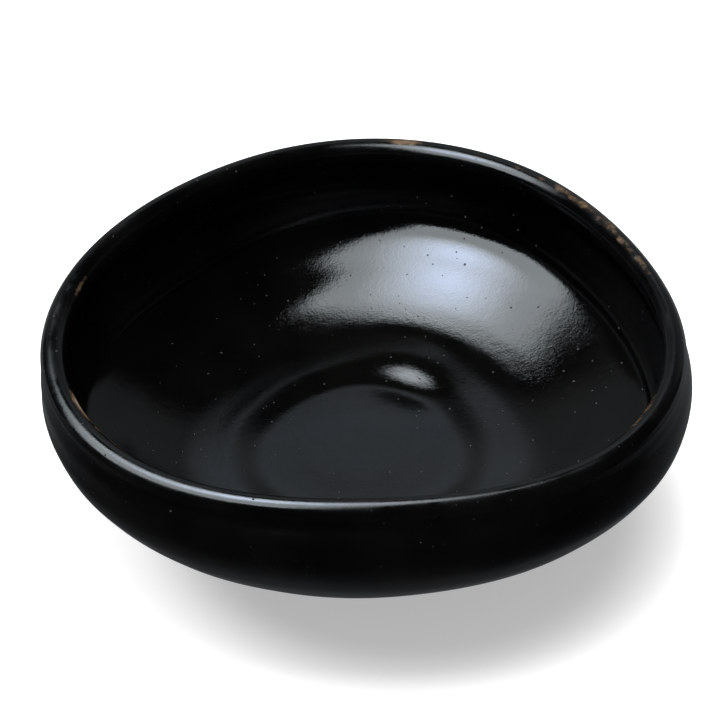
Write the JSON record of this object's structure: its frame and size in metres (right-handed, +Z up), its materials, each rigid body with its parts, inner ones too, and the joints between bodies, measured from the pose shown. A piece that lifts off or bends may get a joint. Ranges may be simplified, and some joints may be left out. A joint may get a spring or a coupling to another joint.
{
  "type": "matcha bowl",
  "caption": "Wide shallow summer tea bowl with a rolled, gently waving lip, a soft three-cornered plan, a glossy black glaze breaking brown at the lip and a low turned foot ring.",
  "frame": {"origin": "middle of the bowl's box, on the surface it stands on", "axes": "+Z up through the mouth; -Y towards the drinker, the flatter side of the plan; +X to the drinker's right"},
  "size_m": [0.1513, 0.1489, 0.0571],
  "materials": {
    "fired_clay": "matte",
    "foot_clay": "matte",
    "black_glaze_outside": "gloss",
    "black_glaze_inside": "gloss",
    "lip_glaze": "gloss"
  },
  "bodies": {
    "root": {"clay_body": "fired_clay", "foot_ring": "foot_clay", "outer_glaze": "black_glaze_outside", "inner_glaze": "black_glaze_inside", "lip_glaze": "lip_glaze"}
  },
  "joints": []
}
